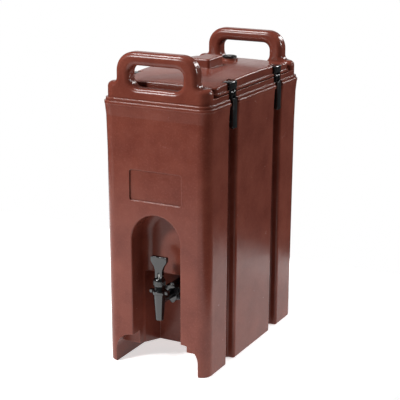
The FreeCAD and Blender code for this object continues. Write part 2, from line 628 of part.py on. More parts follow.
def makeLidInside():
    """Inner pan of the lid, its foam and the gasket."""
    pan = newBody("lid_pan")
    plate = newSketch(pan, "pan_plate", "XY_Plane", "dims.lidBottom")
    addRectangle(plate, -87.8, 87.8, -160.8, 160.8)
    pad(pan, plate, 3)
    plug = newSketch(pan, "pan_plug", "XY_Plane", "dims.plugBottom")
    addRectangle(plug, "-dims.plugHalfWidth", "dims.plugHalfWidth",
                 "-dims.plugHalfLength", "dims.plugHalfLength")
    pad(pan, plug, "dims.lidBottom - dims.plugBottom + 1")
    room = newSketch(pan, "pan_room", "XY_Plane", "dims.plugBottom + 3.5")
    addRectangle(room, "-dims.plugHalfWidth + 3.5", "dims.plugHalfWidth - 3.5",
                 "-dims.plugHalfLength + 3.5", "dims.plugHalfLength - 3.5")
    pocket(pan, room, 60, reverse=True)
    fillet(pan, "plug_edges", 8,
           lambda p, d, e: (near(abs(p.x), valueOf("dims.plugHalfWidth"), 0.1) and
                            near(abs(p.y), valueOf("dims.plugHalfLength"), 0.1)))
    fillet(pan, "plug_bottom", 5, lambda p, d, e: near(p.z, valueOf("dims.plugBottom"), 0.1))
    vent = newSketch(pan, "pan_vent", "XY_Plane", "dims.plugBottom - 1")
    addCircle(vent, 0, "dims.ventPlace", "dims.ventRadius")
    pocket(pan, vent, 60, reverse=True)

    foam = newBody("lid_foam")
    layers = [("lid_foam_low", "dims.plugBottom + 3.6", "dims.plugHalfWidth - 3.6",
               "dims.plugHalfLength - 3.6", "dims.lidBottom + 3.1 - dims.plugBottom - 3.6"),
              ("lid_foam_high", "dims.lidBottom + 3.1", 87.8, 160.8, 7.8),
              ("lid_foam_top", "dims.lidBottom + 10", 59.9, 99.9, 5.9)]
    for name, level, halfWidth, halfLength, height in layers:
        sketch = newSketch(foam, name, "XY_Plane", level)
        addRectangle(sketch, f"-({halfWidth})", halfWidth, f"-({halfLength})", halfLength)
        pad(foam, sketch, height)
    vent = newSketch(foam, "foam_vent", "XY_Plane", "dims.plugBottom")
    addCircle(vent, 0, "dims.ventPlace", "dims.ventRadius + 0.1")
    pocket(foam, vent, 60, reverse=True)

    gasket = newBody("lid_gasket")
    ring = newSketch(gasket, "gasket_ring", "XY_Plane", "dims.rimHeight")
    addRoundedRectangle(ring, 84.5, 168, 9)
    pad(gasket, ring, "dims.lidBottom - dims.rimHeight")
    hole = newSketch(gasket, "gasket_hole", "XY_Plane", "dims.rimHeight - 1")
    addRoundedRectangle(hole, 77.5, 163.5, 5)
    pocket(gasket, hole, 10, reverse=True)


def makeVent():
    place = (0, valueOf("dims.ventPlace"), 0)
    base = "dims.lidCrown + 1.5"
    turned("vent_seal", [("dims.ventRadius + 0.4", base), (9, base), (9, f"{base} + 1"),
                         ("dims.ventRadius + 0.4", f"{base} + 1")], place)
    turned("vent_cap", [(0, f"{base} - 15"), ("dims.ventRadius - 0.4", f"{base} - 15"),
                        ("dims.ventRadius - 0.4", f"{base} + 1.3"), (14.2, f"{base} + 1.3"),
                        (15, f"{base} + 2"), (15, f"{base} + 4.2"), (14, f"{base} + 5"),
                        (0, f"{base} + 5.6")], place)


# ---- latches, drawn on the +X side about the local middle of the latch ----

def makeLatch(number, turn, place):
    """One draw latch: fixed bracket, lever, hook and their two pins."""
    move = (0, place, 0)
    pivot = ("dims.pivotOut", "dims.pivotHeight")
    link = ("dims.pivotOut", "dims.linkHeight")
    hole = "dims.pinRadius + dims.pinFit"

    bracket = newBody(f"latch_{number}_bracket", move, turn)
    plate = newSketch(bracket, f"bracket_{number}_plate", "YZ_Plane", "dims.channelFloor")
    addRectangle(plate, -9, 9, 468, 534)
    pad(bracket, plate, 3)
    lugs = newSketch(bracket, f"bracket_{number}_lugs", "XZ_Plane")
    addOutline(lugs, [("dims.channelFloor + 2", 496), ("dims.pivotOut", 524),
                      ("dims.pivotOut + 5", "dims.pivotHeight - 3"),
                      ("dims.pivotOut + 5", "dims.pivotHeight + 2"),
                      ("dims.pivotOut + 2", "dims.pivotHeight + 5"),
                      ("dims.pivotOut - 3", "dims.pivotHeight + 5"),
                      ("dims.pivotOut - 5", "dims.pivotHeight"),
                      ("dims.channelFloor + 2", 530)])
    pad(bracket, lugs, 11, midplane=True)
    gap = newSketch(bracket, f"bracket_{number}_gap", "XZ_Plane")
    addRectangle(gap, "dims.channelFloor + 3", "dims.pivotOut + 10", 480, 560)
    pocket(bracket, gap, 5, midplane=True)
    bore = newSketch(bracket, f"bracket_{number}_bore", "XZ_Plane")
    addCircle(bore, *pivot, hole)
    pocket(bracket, bore, 30, midplane=True)
    screws = newSketch(bracket, f"bracket_{number}_screws", "YZ_Plane", "dims.channelFloor - 1")
    addCircle(screws, 0, 475, 2.2)
    addCircle(screws, 0, 488, 2.2)
    pocket(bracket, screws, 8, reverse=True)

    lever = newBody(f"latch_{number}_lever", move, turn)
    side = newSketch(lever, f"lever_{number}_side", "XZ_Plane")
    addOutline(side, [("dims.pivotOut - 3", 476), ("dims.pivotOut + 4", 472), ("dims.pivotOut + 8", 472),
                      ("dims.pivotOut + 7.5", 480), ("dims.pivotOut + 7.5", 524),
                      ("dims.pivotOut + 6", 527), ("dims.pivotOut + 4.5", 530),
                      ("dims.pivotOut + 4.5", "dims.pivotHeight + 2"),
                      ("dims.pivotOut + 2", "dims.pivotHeight + 4.5"),
                      ("dims.pivotOut - 2", "dims.pivotHeight + 4.5"),
                      ("dims.pivotOut - 4.5", "dims.pivotHeight + 2"),
                      ("dims.pivotOut - 4.5", "dims.pivotHeight - 3"), ("dims.pivotOut - 3", 530)])
    pad(lever, side, 17.4, midplane=True)
    gap = newSketch(lever, f"lever_{number}_gap", "XZ_Plane")
    addOutline(gap, [("dims.pivotOut - 10", 480), ("dims.pivotOut + 5", 480), ("dims.pivotOut + 5", 527),
                     ("dims.pivotOut + 10", 532), ("dims.pivotOut + 10", 560), ("dims.pivotOut - 10", 560)])
    pocket(lever, gap, 12.2, midplane=True)
    for name, centre in (("pivot", pivot), ("link", link)):
        bore = newSketch(lever, f"lever_{number}_{name}_bore", "XZ_Plane")
        addCircle(bore, *centre, hole)
        pocket(lever, bore, 30, midplane=True)

    hook = newBody(f"latch_{number}_hook", move, turn)
    arms = newSketch(hook, f"hook_{number}_arms", "XZ_Plane")
    addOutline(arms, [("dims.pivotOut - 3.5", "dims.linkHeight - 3.5"),
                      ("dims.pivotOut + 3.5", "dims.linkHeight - 3.5"),
                      ("dims.pivotOut + 3.5", "dims.linkHeight + 4"), ("dims.pivotOut + 2.5", 496),
                      ("dims.pivotOut + 2.5", 549), ("dims.pivotOut - 2.5", 549),
                      ("dims.pivotOut - 2.5", 496), ("dims.pivotOut - 3.5", "dims.linkHeight + 4")])
    pad(hook, arms, 24.4, midplane=True)
    gap = newSketch(hook, f"hook_{number}_gap", "XZ_Plane")
    addRectangle(gap, "dims.pivotOut - 10", "dims.pivotOut + 10", 470, 545.5)
    pocket(hook, gap, 18.4, midplane=True)
    cross = newSketch(hook, f"hook_{number}_cross", "XZ_Plane")
    addOutline(cross, [("dims.pivotOut", 545.5), ("dims.pivotOut + 3.5", 545.5),
                       ("dims.pivotOut + 3.5", "dims.noseTop - 1.5"),
                       ("dims.pivotOut + 2", "dims.noseTop"), ("dims.noseInner", "dims.noseTop"),
                       ("dims.noseInner", "dims.noseBottom"), ("dims.pivotOut", "dims.noseBottom")])
    pad(hook, cross, 30, midplane=True)
    bore = newSketch(hook, f"hook_{number}_bore", "XZ_Plane")
    addCircle(bore, *link, hole)
    pocket(hook, bore, 30, midplane=True)

    for name, centre, half in (("pivot", pivot, 8.7), ("link", link, 12.2)):
        body = newBody(f"latch_{number}_{name}_pin", move, turn)
        sketch = newSketch(body, f"pin_{number}_{name}", "XZ_Plane")
        addCircle(sketch, *centre, "dims.pinRadius")
        pad(body, sketch, 2 * half, midplane=True)


# ---- faucet ----

def makeFaucet():
    height = "dims.faucetHeight"
    place = (0, 0, valueOf(height))
    wall, tank = "dims.alcoveLowerBack", "dims.tankLowerFront - dims.tankSkin"
    shank = "dims.shankRadius"
    turned("faucet_shank", [(5.5, f"{tank} - 4.5"), (16, f"{tank} - 4.5"), (16, f"{tank} - 1.5"),
                            (shank, f"{tank} - 1.5"), (shank, f"{wall} + 30"), (5.5, f"{wall} + 30")],
           place, 90)
    turned("shank_seal_inner", [(f"{shank} + 0.1", f"{tank} - 1.5"), (17, f"{tank} - 1.5"),
                                (17, tank), (f"{shank} + 0.1", tank)], place, 90)
    turned("shank_seal_outer", [(f"{shank} + 0.1", wall), (17, wall), (17, f"{wall} + 2.5"),
                                (f"{shank} + 0.1", f"{wall} + 2.5")], place, 90)

    nut = newBody("wing_nut", place, 90, (1, 0, 0))
    hub = newSketch(nut, "nut_hub", "XY_Plane", "dims.alcoveLowerBack + 2.5")
    addCircle(hub, 0, 0, 18.5)
    pad(nut, hub, 17)
    wing = newSketch(nut, "nut_wing", "XY_Plane", "dims.alcoveLowerBack + 5")
    slant = math.radians(42)
    outline = [(10, -6), (22, -5), (27, -4), (29.5, 0), (27, 4), (22, 5), (10, 6)]
    addOutline(wing, [(out * math.cos(slant) - up * math.sin(slant),
                       out * math.sin(slant) + up * math.cos(slant)) for out, up in outline])
    wingPad = pad(nut, wing, 11)
    pattern = nut.newObject("PartDesign::PolarPattern", "nut_wings")
    pattern.Originals = [wingPad]
    pattern.Axis = (hub, ["N_Axis"])
    pattern.Angle = 360
    pattern.Occurrences = 2
    nut.Tip = pattern
    doc.recompute()
    bore = newSketch(nut, "nut_bore", "XY_Plane", "dims.alcoveLowerBack")
    addCircle(bore, 0, 0, f"{shank} + 0.1")
    pocket(nut, bore, 40, reverse=True)

    collar = newBody("faucet_collar", place, 90, (1, 0, 0))
    ring = newSketch(collar, "collar_ring", "XY_Plane", f"{wall} + 20")
    addCircle(ring, 0, 0, 16)
    pad(collar, ring, 24)
    lobe = newSketch(collar, "collar_lobe", "XY_Plane", f"{wall} + 22")
    addCircle(lobe, 0, 15, 5.6)
    lobePad = pad(collar, lobe, 19)
    lobes = collar.newObject("PartDesign::PolarPattern", "collar_lobes")
    lobes.Originals = [lobePad]
    lobes.Axis = (ring, ["N_Axis"])
    lobes.Angle = 360
    lobes.Occurrences = 6
    collar.Tip = lobes
    doc.recompute()
    bore = newSketch(collar, "collar_bore", "XY_Plane", wall)
    addCircle(bore, 0, 0, f"{shank} + 0.1")
    pocket(collar, bore, 60, reverse=True)

    spout = (0, -valueOf("dims.spoutPlace"), 0)
    tip = "dims.spoutTip"
    body = turned("faucet_body", [(0, tip), (8.2, tip), (12.2, f"{tip} + 52"), (14.6, f"{tip} + 53.5"),
                                  (14.6, f"{tip} + 59"), (13.6, f"{tip} + 60"), (10.2, f"{tip} + 60"),
                                  (10.2, f"{tip} + 78"), (0, f"{tip} + 78")], spout)
    lugs = newSketch(body, "faucet_lugs", "XZ_Plane")
    addRectangle(lugs, -19.5, 19.5, f"{tip} + 53.5", f"{tip} + 59.5")
    pad(body, lugs, 9, midplane=True)
    reach = f"dims.spoutPlace - {wall} - 30.3"
    barrel = newSketch(body, "faucet_barrel", "XZ_Plane", f"-({reach})")
    addCircle(barrel, 0, height, shank)
    pad(body, barrel, f"{reach} - 4")
    chamber = newSketch(body, "faucet_chamber", "XY_Plane", f"{tip} + 78")
    addCircle(chamber, 0, 0, 6.4)
    pocket(body, chamber, 45.5)
    outlet = newSketch(body, "faucet_outlet", "XY_Plane", tip)
    addCircle(outlet, 0, 0, 5.8)
    pocket(body, outlet, 40, reverse=True)
    inlet = newSketch(body, "faucet_inlet", "XZ_Plane", f"-({reach})")
    addCircle(inlet, 0, height, 5)
    pocket(body, inlet, f"{reach} - 3", reverse=True)

    turned("faucet_bonnet", [(10.3, f"{tip} + 69"), (11.8, f"{tip} + 69"), (11.8, f"{tip} + 81"),
                             (9.4, f"{tip} + 84"), ("dims.stemRadius + 0.08", f"{tip} + 84"),
                             ("dims.stemRadius + 0.08", f"{tip} + 78.1"), (10.3, f"{tip} + 78.1")], spout)
    turned("seat_cup", [(0, f"{tip} + 32.6"), (4.6, f"{tip} + 32.6"), (6.1, f"{tip} + 34.2"),
                        (6.1, f"{tip} + 39"), (3.6, f"{tip} + 42"), ("dims.stemRadius", f"{tip} + 42"),
                        ("dims.stemRadius", f"{tip} + 36"), (0, f"{tip} + 36")], spout)
    stem = newBody("faucet_stem", spout)
    rod = newSketch(stem, "stem_rod", "XY_Plane", f"{tip} + 36")
    addCircle(rod, 0, 0, "dims.stemRadius")
    pad(stem, rod, "dims.tiltHeight + 3.5 - dims.spoutTip - 36")
    for name, left, right in (("left", -5, -1.4), ("right", 1.4, 5)):
        flat = newSketch(stem, f"stem_flat_{name}", "XZ_Plane")
        addRectangle(flat, left, right, f"{tip} + 82.3", f"{tip} + 100")
        pocket(stem, flat, 10, midplane=True)
    bore = newSketch(stem, "stem_bore", "YZ_Plane")
    addCircle(bore, 0, "dims.tiltHeight", 1.25)
    pocket(stem, bore, 10, midplane=True)

    handle = newBody("faucet_handle", spout)
    paddle = newSketch(handle, "handle_paddle", "XZ_Plane")
    half = [(7.5, -4.5), (7.5, 7), (8, 12), (10.5, 19), (17, 29), (17, 38)]
    outline = half + [(-out, up) for out, up in reversed(half)]
    addOutline(paddle, [(out, f"dims.tiltHeight + {up}") for out, up in outline])
    pad(handle, paddle, 8.5, midplane=True)
    slot = newSketch(handle, "handle_slot", "XZ_Plane")
    addRectangle(slot, -1.8, 1.8, "dims.tiltHeight - 6", "dims.tiltHeight + 6")
    pocket(handle, slot, 12, midplane=True)
    bore = newSketch(handle, "handle_bore", "YZ_Plane")
    addCircle(bore, 0, "dims.tiltHeight", 1.25)
    pocket(handle, bore, 20, midplane=True)
    fillet(handle, "handle_corners", 2.5,
           lambda p, d, e: abs(d.y) > 0.99 and near(abs(p.x), 17, 0.1)
           and near(p.z, valueOf("dims.tiltHeight + 38"), 0.2))
    pin = newBody("handle_pin", spout)
    sketch = newSketch(pin, "handle_pin_round", "YZ_Plane")
    addCircle(sketch, 0, "dims.tiltHeight", 1.2)
    pad(pin, sketch, 15.2, midplane=True)


def makeScrews():
    """The bracket screws of all four latches, one group of separate solids."""
    group = []
    for number, (turn, place) in enumerate(latchPlaces(), 1):
        for height in (475, 488):
            screw = doc.addObject("Part::Cylinder", f"screw_{number}_{height}")
            screw.Radius = 2.1
            screw.Height = 4.4
            head = doc.addObject("Part::Cylinder", f"screw_head_{number}_{height}")
            head.Radius = 3.8
            head.Height = 1.8
            side = 1 if turn == 0 else -1
            for item, out in ((screw, 0), (head, 3)):
                item.Placement = Placement(Vector(0, place, height), Rotation(Vector(0, 1, 0), 90 * side))
                item.setExpression("Placement.Base.x", f"{side} * (dims.channelFloor + {out})")
            whole = doc.addObject("Part::Fuse", f"whole_screw_{number}_{height}")
            whole.Base = screw
            whole.Tool = head
            group.append(whole)
    screws = doc.addObject("Part::Compound", "latch_screws")
    screws.Links = group
    screws.Label = "latch_screws"
    parts.append(screws)
    doc.recompute()


def latchPlaces():
    """Turn about the upright axis and place along the body of each latch."""
    centre = valueOf("dims.channelCentre")
    return [(0, -centre), (0, centre), (180, -centre), (180, centre)]


makeBodyShell()
makeTank()
makeFoam()
makeLidShell()
makeLidInside()
makeVent()
for number, (turn, place) in enumerate(latchPlaces(), 1):
    makeLatch(number, turn, place)
makeScrews()
makeFaucet()
doc.recompute()

for item in doc.Objects:
    if "Invalid" in item.State or "Error" in item.State:
        raise ValueError(f"{item.Label} did not recompute")
os.makedirs("parts", exist_ok=True)
for part in parts:
    if part.Shape.isNull() or not part.Shape.isValid():
        raise ValueError(f"{part.Label} has no valid shape")
    part.Shape.exportStep(f"parts/{part.Label}.step")
print(len(parts), "sub-parts written")
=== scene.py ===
import bmesh
import bpy
import json
import math
from mathutils import Matrix, Vector


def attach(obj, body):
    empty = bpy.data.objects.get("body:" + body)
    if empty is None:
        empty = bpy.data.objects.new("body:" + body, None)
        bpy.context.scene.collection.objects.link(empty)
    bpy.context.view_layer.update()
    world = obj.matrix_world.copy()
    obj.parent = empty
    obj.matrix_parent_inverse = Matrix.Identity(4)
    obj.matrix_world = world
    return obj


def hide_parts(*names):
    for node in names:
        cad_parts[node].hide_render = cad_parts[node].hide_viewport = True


# An insulated drink dispenser in brown moulded polyethylene, with black latches and a black faucet.
# Metres, +Z up, the faucet looks towards -Y.

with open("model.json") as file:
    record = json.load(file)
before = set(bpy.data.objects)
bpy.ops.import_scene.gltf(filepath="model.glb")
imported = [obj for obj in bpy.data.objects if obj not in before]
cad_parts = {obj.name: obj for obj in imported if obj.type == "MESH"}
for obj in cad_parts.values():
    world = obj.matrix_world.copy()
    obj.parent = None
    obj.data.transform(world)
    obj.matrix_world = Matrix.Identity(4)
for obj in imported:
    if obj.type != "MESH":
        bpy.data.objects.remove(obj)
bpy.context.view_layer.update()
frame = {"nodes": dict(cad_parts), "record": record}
millimetre = 0.001
meshCare = {"mergeDistance": 0.01, "flatAngle": 1.5, "smoothAngle": 38, "sharpAngle": 40}


def linearColour(hexText):
    # sRGB hex to the linear values that shaders take
    channels = [int(hexText[place:place + 2], 16) / 255 for place in (1, 3, 5)]
    linear = [c / 12.92 if c <= 0.04045 else ((c + 0.055) / 1.055) ** 2.4 for c in channels]
    return (*linear, 1.0)


def addNode(tree, kind, settings=None, values=None, links=None, stops=None):
    # one node: its settings, fixed inputs, what feeds the other inputs, and the two stops of a colour ramp
    node = tree.nodes.new(kind)
    for name, value in (settings or {}).items():
        setattr(node, name, value)
    for name, value in (values or {}).items():
        node.inputs[name].default_value = value
    for name, source in (links or {}).items():
        tree.links.new(source, node.inputs[name])
    for element, (position, colour) in zip(node.color_ramp.elements if stops else (), stops or ()):
        element.position = position
        element.color = colour
    return node


def newPiece(name, bm, material, body, replaced):
    # a finished bmesh becomes a piece that rides on a body in place of its plain node
    bmesh.ops.recalc_face_normals(bm, faces=bm.faces)
    mesh = bpy.data.meshes.new(name)
    bm.to_mesh(mesh)
    bm.free()
    mesh.shade_smooth()
    mesh.set_sharp_from_angle(angle=math.radians(meshCare["smoothAngle"]))
    piece = bpy.data.objects.new(name, mesh)
    bpy.context.scene.collection.objects.link(piece)
    mesh.materials.append(material)
    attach(piece, body)
    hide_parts(replaced)
    return piece


def easeEdges(bm, edges, width, segments):
    bmesh.ops.bevel(bm, geom=edges, offset=width * millimetre, offset_type="OFFSET", segments=segments,
                    profile=0.5, affect="EDGES", clamp_overlap=True, material=-1)


def softened(node, name, material, body, width, segments=2):
    # a copy of a plain node with its sharp edges eased the way a mould leaves them
    bm = bmesh.new()
    bm.from_mesh(frame["nodes"][node].data)
    bmesh.ops.remove_doubles(bm, verts=bm.verts, dist=meshCare["mergeDistance"] * millimetre)
    flat, sharp = math.radians(meshCare["flatAngle"]), math.radians(meshCare["sharpAngle"])
    bmesh.ops.dissolve_limit(bm, angle_limit=flat, verts=bm.verts, edges=bm.edges)
    easeEdges(bm, [e for e in bm.edges if e.is_manifold and e.calc_face_angle(0) > sharp], width, segments)
    return newPiece(name, bm, material, body, node)


def spunShape(profile, steps):
    # radius and height pairs in mm, spun about the Z axis into a closed shape
    bm = bmesh.new()
    corners = [bm.verts.new((radius * millimetre, 0, height * millimetre)) for radius, height in profile]
    edges = [bm.edges.new((corners[i], corners[i + 1])) for i in range(len(corners) - 1)]
    if profile[0][0] > 0:
        edges.append(bm.edges.new((corners[-1], corners[0])))
    bmesh.ops.spin(bm, geom=corners + edges, cent=(0, 0, 0), axis=(0, 0, 1), angle=math.tau,
                   steps=steps, use_merge=True)
    bmesh.ops.remove_doubles(bm, verts=bm.verts, dist=meshCare["mergeDistance"] / 2 * millimetre)
    bmesh.ops.recalc_face_normals(bm, faces=bm.faces)
    return bm


def raiseRibs(bm, low, high, depth, sideGap=0.12):
    # every second side face between two heights in mm stands proud as a grip rib
    ribs = []
    for face in bm.faces:
        middle = face.calc_center_median()
        if low * millimetre < middle.z < high * millimetre and abs(face.normal.z) < 0.3:
            outward = Vector((middle.x, middle.y, 0)).normalized()
            if face.normal.dot(outward) > 0.5:
                ribs.append((math.atan2(middle.y, middle.x), face))
    ribs.sort(key=lambda item: item[0])
    chosen = [face for angle, face in ribs[::2]]
    bmesh.ops.inset_individual(bm, faces=chosen, thickness=sideGap * millimetre, depth=depth * millimetre)


def startMaterial(name):
    material = bpy.data.materials.new(name)
    material.use_nodes = True
    tree = material.node_tree
    tree.nodes.clear()
    output = addNode(tree, "ShaderNodeOutputMaterial")
    shader = addNode(tree, "ShaderNodeBsdfPrincipled")
    tree.links.new(shader.outputs["BSDF"], output.inputs["Surface"])
    place = addNode(tree, "ShaderNodeTexCoord").outputs["Object"]
    return material, tree, shader, place


def mouldedPlastic(name, look):
    # moulded plastic: soft clouding in the colour, an orange-peel skin, edges lightened partly as rubbed
    # wear and partly as a painted highlight, and a few fine scuffs
    material, tree, shader, place = startMaterial(name)
    cloud = addNode(tree, "ShaderNodeTexNoise", values={"Scale": 1 / (look["cloudSize"] * millimetre),
                    "Detail": 5.0, "Roughness": 0.6}, links={"Vector": place}).outputs["Fac"]
    fleck = addNode(tree, "ShaderNodeTexNoise", values={"Scale": 1 / (look["fleckSize"] * millimetre),
                    "Detail": 3.0, "Roughness": 0.7}, links={"Vector": place}).outputs["Fac"]
    base = addNode(tree, "ShaderNodeValToRGB", links={"Fac": cloud}, stops=(
        (0.3, linearColour(look["dark"])), (0.7, linearColour(look["light"])))).outputs["Color"]
    speckle = addNode(tree, "ShaderNodeMapRange", values={"From Min": 0.52, "From Max": 0.72,
                      "To Max": look["fleckAmount"]}, links={"Value": fleck}).outputs["Result"]
    flecked = addNode(tree, "ShaderNodeMix", {"data_type": "RGBA"}, {"B": linearColour(look["fleck"])},
                      {"Factor": speckle, "A": base}).outputs["Result"]

    # edges lightened partly as rubbed wear and partly as a painted highlight: where the rounded normal
    # leaves the true one
    rounded = addNode(tree, "ShaderNodeBevel", {"samples": 6}, {"Radius": look["edgeSize"] * millimetre})
    true = addNode(tree, "ShaderNodeNewGeometry")
    agree = addNode(tree, "ShaderNodeVectorMath", {"operation": "DOT_PRODUCT"},
                    links={0: rounded.outputs["Normal"], 1: true.outputs["Normal"]}).outputs["Value"]
    edge = addNode(tree, "ShaderNodeMapRange", values={"From Min": 0.985, "From Max": 0.8,
                   "To Max": look["edgeAmount"]}, links={"Value": agree}).outputs["Result"]
    brokenWearAndHighlight = addNode(tree, "ShaderNodeMath", {"operation": "MULTIPLY"},
                     links={0: edge, 1: fleck}).outputs[0]
    wornAndHighlighted = addNode(tree, "ShaderNodeMix", {"data_type": "RGBA"}, {"B": linearColour(look["edge"])},
                   {"Factor": brokenWearAndHighlight, "A": flecked}).outputs["Result"]
    tree.links.new(wornAndHighlighted, shader.inputs["Base Color"])

    # scuffs: long thin streaks that break the gloss
    stretched = addNode(tree, "ShaderNodeMapping",
                        values={"Scale": look["scuffStretch"], "Rotation": look["scuffTurn"]},
                        links={"Vector": place}).outputs["Vector"]
    streak = addNode(tree, "ShaderNodeTexNoise", values={"Scale": 1 / (look["scuffSize"] * millimetre),
                     "Detail": 6.0, "Roughness": 0.72}, links={"Vector": stretched}).outputs["Fac"]
    gloss = addNode(tree, "ShaderNodeMapRange", values={"From Min": 0.35, "From Max": 0.7,
                    "To Min": look["roughness"] - look["roughnessSpread"],
                    "To Max": look["roughness"] + look["roughnessSpread"]}, links={"Value": streak})
    tree.links.new(gloss.outputs["Result"], shader.inputs["Roughness"])

    # orange peel from the mould, really about a millimetre across, drawn coarser so that it shows
    peel = addNode(tree, "ShaderNodeTexNoise", values={"Scale": 1 / (look["peelSize"] * millimetre),
                   "Detail": 2.5, "Roughness": 0.55}, links={"Vector": place}).outputs["Fac"]
    wave = addNode(tree, "ShaderNodeTexNoise", values={"Scale": 1 / (look["waveSize"] * millimetre),
                   "Detail": 2.0, "Roughness": 0.5}, links={"Vector": place}).outputs["Fac"]
    swell = addNode(tree, "ShaderNodeBump", values={"Strength": look["waveStrength"],
                    "Distance": look["waveDepth"] * millimetre},
                    links={"Height": wave, "Normal": rounded.outputs["Normal"]}).outputs["Normal"]
    skin = addNode(tree, "ShaderNodeBump", values={"Strength": look["peelStrength"],
                   "Distance": look["peelDepth"] * millimetre},
                   links={"Height": peel, "Normal": swell}).outputs["Normal"]
    tree.links.new(skin, shader.inputs["Normal"])
    shader.inputs["IOR"].default_value = look["ior"]
    shader.inputs["Specular IOR Level"].default_value = look["specular"]
    return material


# rotationally moulded polyethylene: satin, clouded, paler on its edges where it is rubbed and where a
# highlight is painted (sizes in mm)
brownLook = {"dark": "#5C2A20", "light": "#6E382C", "fleck": "#824C40", "fleckAmount": 0.28,
             "edge": "#B07A6C", "edgeAmount": 0.7, "edgeSize": 1.6, "cloudSize": 60, "fleckSize": 3.2,
             "scuffSize": 24, "scuffStretch": (1.0, 0.6, 1.5), "scuffTurn": (0.9, 0.5, 0.7),
             "roughness": 0.24, "roughnessSpread": 0.04, "ior": 1.5, "specular": 0.22,
             "peelSize": 2.6, "peelDepth": 0.5, "peelStrength": 0.25,
             "waveSize": 34, "waveDepth": 1.6, "waveStrength": 0.2}
# injection moulded nylon: near black, satin, with edges greyed partly as wear and partly as a painted
# highlight
nylonLook = {**brownLook, "dark": "#0A0A0B", "light": "#121213", "fleck": "#1E1E20", "fleckAmount": 0.25,
             "edge": "#55555A", "edgeAmount": 0.5, "edgeSize": 0.5, "cloudSize": 18, "fleckSize": 1.4,
             "scuffSize": 9, "roughness": 0.19, "roughnessSpread": 0.06, "ior": 1.53, "specular": 0.6,
             "peelSize": 1.1, "peelDepth": 0.08, "peelStrength": 0.2,
             "waveSize": 9, "waveDepth": 0.2, "waveStrength": 0.12}
# injection moulded polypropylene of the faucet: deeper black and glossier, with fainter edges greyed as
# wear and as a painted highlight
faucetLook = {**nylonLook, "dark": "#080809", "light": "#0F0F10", "edgeAmount": 0.3,
              "roughness": 0.18, "roughnessSpread": 0.05}
# pale polyethylene of the tank: smooth and a little cloudy, its edges a little lighter as wear and as a
# painted highlight
tankLook = {**brownLook, "dark": "#B9B0A0", "light": "#CFC7B8", "fleck": "#DDD6C9", "fleckAmount": 0.2,
            "edge": "#E4DFD5", "edgeAmount": 0.2, "roughness": 0.36,
            "peelStrength": 0.12, "waveStrength": 0.1}
# the foam's pit colour is painted shade in the cell hollows
foamLook = {"cell": 1.6, "shadedPit": "#B59A5E", "face": "#DCC88C", "roughness": 0.9,
            "bumpStrength": 0.6, "bumpDepth": 0.4}
siliconeLook = {"bloom": 5, "deep": "#6B6A67", "pale": "#8A8885", "smooth": 0.5, "dusty": 0.7}
steelLook = {"line": 0.4, "lineStretch": (1.0, 0.05, 1.0), "dark": "#B4B1AD", "light": "#D8D6D2",
             "smooth": 0.2, "drawn": 0.38}


def cellFoam(name, look):
    # rigid polyurethane foam: small closed cells whose pits are darkened with painted shade
    material, tree, shader, place = startMaterial(name)
    cells = addNode(tree, "ShaderNodeTexVoronoi", values={"Scale": 1 / (look["cell"] * millimetre)},
                    links={"Vector": place}).outputs["Distance"]
    tone = addNode(tree, "ShaderNodeValToRGB", links={"Fac": cells}, stops=(
        (0.0, linearColour(look["shadedPit"])), (0.6, linearColour(look["face"])))).outputs["Color"]
    tree.links.new(tone, shader.inputs["Base Color"])
    bump = addNode(tree, "ShaderNodeBump", values={"Strength": look["bumpStrength"],
                   "Distance": look["bumpDepth"] * millimetre},
                   links={"Height": cells}).outputs["Normal"]
    tree.links.new(bump, shader.inputs["Normal"])
    shader.inputs["Roughness"].default_value = look["roughness"]
    return material


def mouldedSilicone(name, look):
    # silicone rubber: soft sheen and dusty bloom
    material, tree, shader, place = startMaterial(name)
    bloom = addNode(tree, "ShaderNodeTexNoise", values={"Scale": 1 / (look["bloom"] * millimetre),
                    "Detail": 5.0}, links={"Vector": place}).outputs["Fac"]
    tone = addNode(tree, "ShaderNodeValToRGB", links={"Fac": bloom}, stops=(
        (0.35, linearColour(look["deep"])), (0.7, linearColour(look["pale"])))).outputs["Color"]
    tree.links.new(tone, shader.inputs["Base Color"])
    rough = addNode(tree, "ShaderNodeMapRange", values={"To Min": look["smooth"], "To Max": look["dusty"]},
                    links={"Value": bloom})
    tree.links.new(rough.outputs["Result"], shader.inputs["Roughness"])
    return material


def drawnSteel(name, look):
    # drawn stainless steel: bright, with fine lines from the die
    material, tree, shader, place = startMaterial(name)
    lines = addNode(tree, "ShaderNodeMapping", values={"Scale": look["lineStretch"]},
                    links={"Vector": place}).outputs["Vector"]
    grain = addNode(tree, "ShaderNodeTexNoise", values={"Scale": 1 / (look["line"] * millimetre),
                    "Detail": 3.0}, links={"Vector": lines}).outputs["Fac"]
    rough = addNode(tree, "ShaderNodeMapRange", values={"To Min": look["smooth"], "To Max": look["drawn"]},
                    links={"Value": grain})
    tree.links.new(rough.outputs["Result"], shader.inputs["Roughness"])
    tone = addNode(tree, "ShaderNodeValToRGB", links={"Fac": grain}, stops=(
        (0.3, linearColour(look["dark"])), (0.7, linearColour(look["light"])))).outputs["Color"]
    tree.links.new(tone, shader.inputs["Base Color"])
    shader.inputs["Metallic"].default_value = 1.0
    return material


